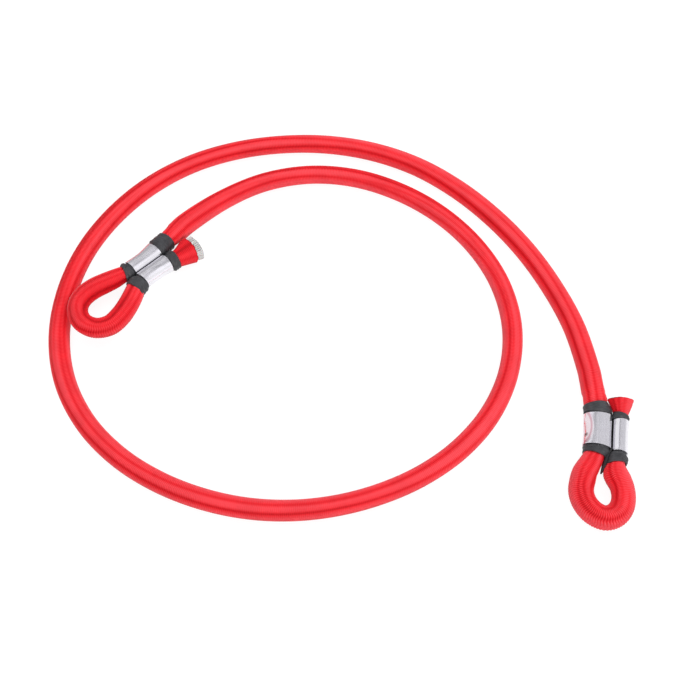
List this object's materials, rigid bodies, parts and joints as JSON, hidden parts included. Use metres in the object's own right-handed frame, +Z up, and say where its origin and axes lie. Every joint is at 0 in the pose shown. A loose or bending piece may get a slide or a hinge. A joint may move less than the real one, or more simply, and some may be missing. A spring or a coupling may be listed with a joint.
{
  "type": "bungee cord with looped ends",
  "caption": "Elastic bungee cord with a braided sheath over a rubber core, each end folded into an eye and crimped in a ferrule of side-by-side barrels with rubber liners.",
  "frame": {"origin": "centre of the bounding box, on the surface on which the cord lies", "axes": "+Z up from that surface; +X to the right in the picture, along the longest extent; +Y away from its viewer"},
  "size_m": [0.4486, 0.3747, 0.0242],
  "materials": {
    "sheath": "tight braided synthetic yarn, slightly glossy",
    "core": "bundle of off-white rubber strands",
    "ferrule": "bright drawn aluminium, crimped",
    "liner": "dark grey rubber sleeve, satin"
  },
  "bodies": {
    "main_run": {"sheath_lead_a": "sheath", "core_lead_a": "core", "sheath_turn_1": "sheath", "core_turn_1": "core", "sheath_turn_2": "sheath", "core_turn_2": "core", "sheath_turn_3": "sheath", "core_turn_3": "core", "sheath_turn_4": "sheath", "core_turn_4": "core", "sheath_stretch": "sheath", "core_stretch": "core"},
    "end_a": {"sheath_eye_a": "sheath", "core_eye_a": "core", "core_strands_a": "core", "ferrule_a": "ferrule", "liner_standing_a": "liner", "liner_tail_a": "liner"},
    "run_b": {"sheath_lead_b": "sheath", "core_lead_b": "core"},
    "end_b": {"sheath_eye_b": "sheath", "core_eye_b": "core", "ferrule_b": "ferrule", "liner_standing_b": "liner", "liner_tail_b": "liner"}
  },
  "joints": [
    {"name": "end_a_lift", "type": "hinge", "parent": "main_run", "child": "end_a", "pos_m": [-0.0972, 0.1163, 0.0067], "axis": [-0.7314, 0.682, 0], "range_deg": [0, 40], "deforming": ["sheath_lead_a", "core_lead_a"]},
    {"name": "stretch", "type": "slide", "parent": "main_run", "child": "run_b", "axis": [0.4547, -0.8906, 0], "range_m": [0, 0.16], "stiffness_N_per_m": 2700, "deforming": ["sheath_stretch", "core_stretch"]},
    {"name": "end_b_swing", "type": "hinge", "parent": "run_b", "child": "end_b", "pos_m": [0.1853, -0.0096, 0.0064], "axis": [0, 0, 1], "range_deg": [-22, 35], "stiffness_Nm_per_rad": 0.4, "deforming": ["sheath_lead_b", "core_lead_b"]}
  ]
}
